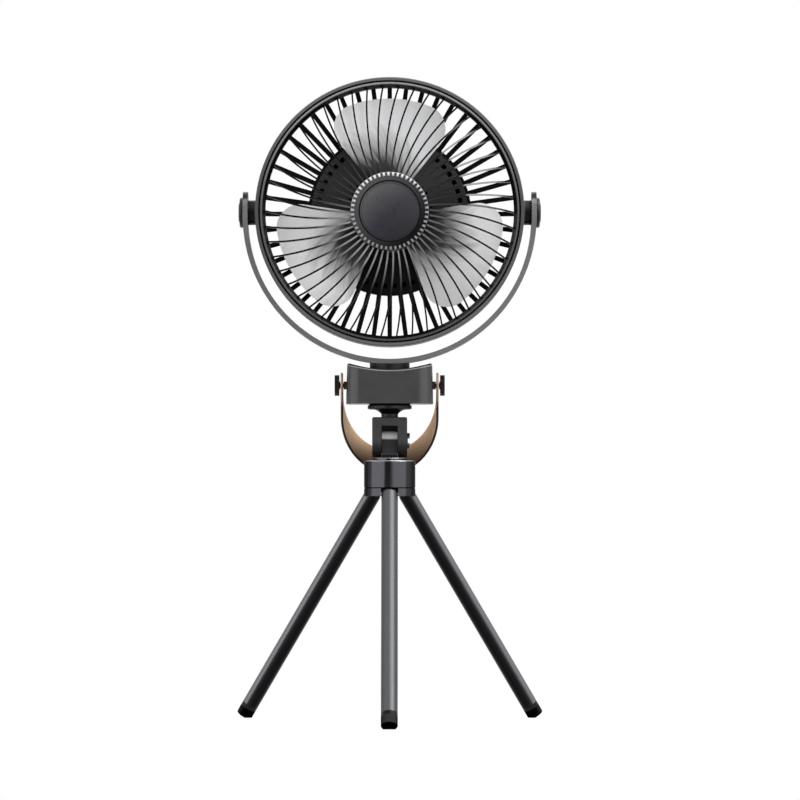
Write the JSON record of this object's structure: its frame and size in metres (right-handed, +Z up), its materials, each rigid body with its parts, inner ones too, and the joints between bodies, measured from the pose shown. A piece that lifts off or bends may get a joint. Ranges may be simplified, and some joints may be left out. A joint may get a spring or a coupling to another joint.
{
  "type": "portable camping fan",
  "caption": "Portable camping fan with a swirl grille on a U yoke, a swivelling base block with a leather strap, and a folding mini tripod.",
  "frame": {"origin": "on the ground, in the middle of the standing fan's bounding box", "axes": "+Z up; the fan faces -Y; +X is to the right seen from the front"},
  "size_m": [0.2076, 0.1814, 0.4306],
  "materials": {
    "charcoal_plastic": "fine satin moulding",
    "block_plastic": "satin moulding",
    "grille_plastic": "satin moulding",
    "cap_plastic": "satin gloss",
    "blade_plastic": "pale grey, darker towards the hub",
    "leg_metal": "dark satin anodised",
    "yoke_metal": "grey satin paint",
    "hub_plastic": "satin gloss",
    "foot_rubber": "matt",
    "screw_steel": "bright",
    "dark_steel": "blackened",
    "insert_brass": "machined",
    "strap_leather": "tan with dark edges",
    "motor_steel": "laminated",
    "magnet_grey": "sintered",
    "cell_wrap": "shrink-wrapped cell",
    "board_green": "circuit board",
    "washer_nylon": "nylon",
    "lens_clear": "frosted"
  },
  "bodies": {
    "tripod": {"tripod_hub": "hub_plastic", "leg_collar": "hub_plastic", "collar_screw": "dark_steel", "leg_pin_front": "screw_steel", "leg_pin_right": "screw_steel", "leg_pin_left": "screw_steel"},
    "tilt_head": {"clevis": "charcoal_plastic", "tilt_nut": "dark_steel", "mount_platform": "hub_plastic", "platform_pad": "foot_rubber", "mount_stud": "screw_steel", "base_block": "block_plastic", "base_cover": "block_plastic", "base_cover_screws": "dark_steel", "threaded_insert": "insert_brass"},
    "tilt_screw": {"tilt_screw": "screw_steel"},
    "strap": {"strap": "strap_leather"},
    "strap_screw_left": {"strap_screw_left": "dark_steel"},
    "strap_screw_right": {"strap_screw_right": "dark_steel"},
    "yoke": {"yoke": "yoke_metal", "swivel_disc": "charcoal_plastic", "swivel_washer": "washer_nylon", "swivel_bolt": "dark_steel", "swivel_nut": "screw_steel"},
    "head": {"outer_ring": "charcoal_plastic", "front_grille": "grille_plastic", "front_cap": "cap_plastic", "rear_grille": "grille_plastic", "drum_shell": "charcoal_plastic", "rear_cover": "charcoal_plastic", "rear_cover_screws": "dark_steel", "battery_cell_upper": "cell_wrap", "battery_cell_lower": "cell_wrap", "control_board": "board_green", "usb_port": "screw_steel", "indicator_lens": "lens_clear", "bearing_front": "screw_steel", "bearing_rear": "screw_steel", "stator": "motor_steel", "pivot_screw_left": "dark_steel", "pivot_screw_right": "dark_steel", "pivot_knob_left": "charcoal_plastic", "pivot_knob_right": "charcoal_plastic"},
    "power_button": {"power_button": "cap_plastic"},
    "speed_button": {"speed_button": "cap_plastic"},
    "impeller": {"impeller": "blade_plastic", "rotor_cup": "motor_steel", "rotor_magnet": "magnet_grey", "motor_shaft": "screw_steel", "impeller_nut": "dark_steel"},
    "leg_front": {"leg_knuckle_front": "leg_metal", "leg_tube_front": "leg_metal", "leg_foot_front": "foot_rubber"},
    "leg_right": {"leg_knuckle_right": "leg_metal", "leg_tube_right": "leg_metal", "leg_foot_right": "foot_rubber"},
    "leg_left": {"leg_knuckle_left": "leg_metal", "leg_tube_left": "leg_metal", "leg_foot_left": "foot_rubber"}
  },
  "joints": [
    {"name": "leg_front_fold", "type": "hinge", "parent": "tripod", "child": "leg_front", "pos_m": [0, 0.01564, 0.15255], "axis": [1, 0, 0], "range_deg": [0, 34]},
    {"name": "leg_right_fold", "type": "hinge", "parent": "tripod", "child": "leg_right", "pos_m": [0.01091, 0.03454, 0.15255], "axis": [-0.5, 0.866, 0], "range_deg": [0, 34]},
    {"name": "leg_left_fold", "type": "hinge", "parent": "tripod", "child": "leg_left", "pos_m": [-0.01091, 0.03454, 0.15255], "axis": [-0.5, -0.866, 0], "range_deg": [0, 34]},
    {"name": "head_tilt_forward", "type": "hinge", "parent": "tripod", "child": "tilt_head", "pos_m": [0, 0.02824, 0.18765], "axis": [1, 0, 0], "range_deg": [0, 90]},
    {"name": "tilt_screw_turn", "type": "hinge", "parent": "tilt_head", "child": "tilt_screw", "pos_m": [0, 0.02824, 0.18765], "axis": [1, 0, 0], "continuous": true},
    {"name": "strap_swing", "type": "hinge", "parent": "tilt_head", "child": "strap", "pos_m": [0, 0.02824, 0.22475], "axis": [1, 0, 0], "range_deg": [-11, 65]},
    {"name": "strap_screw_left_turn", "type": "hinge", "parent": "tilt_head", "child": "strap_screw_left", "pos_m": [-0.03375, 0.02824, 0.22475], "axis": [-1, 0, 0], "continuous": true},
    {"name": "strap_screw_right_turn", "type": "hinge", "parent": "tilt_head", "child": "strap_screw_right", "pos_m": [0.03375, 0.02824, 0.22475], "axis": [1, 0, 0], "continuous": true},
    {"name": "yoke_swivel", "type": "hinge", "parent": "tilt_head", "child": "yoke", "pos_m": [0, 0.02824, 0.23305], "axis": [0, 0, 1], "continuous": true},
    {"name": "fan_tilt", "type": "hinge", "parent": "yoke", "child": "head", "pos_m": [0, 0.02824, 0.34065], "axis": [1, 0, 0], "range_deg": [-90, 90]},
    {"name": "impeller_spin", "type": "hinge", "parent": "head", "child": "impeller", "pos_m": [0, 0.02824, 0.34065], "axis": [0, 1, 0], "continuous": true},
    {"name": "power_button_press", "type": "slide", "parent": "head", "child": "power_button", "axis": [0, -1, 0], "range_m": [0, 0.001], "stiffness_N_per_m": 1200, "springref_m": -0.0004},
    {"name": "speed_button_press", "type": "slide", "parent": "head", "child": "speed_button", "axis": [0, -1, 0], "range_m": [0, 0.001], "stiffness_N_per_m": 1200, "springref_m": -0.0004}
  ]
}
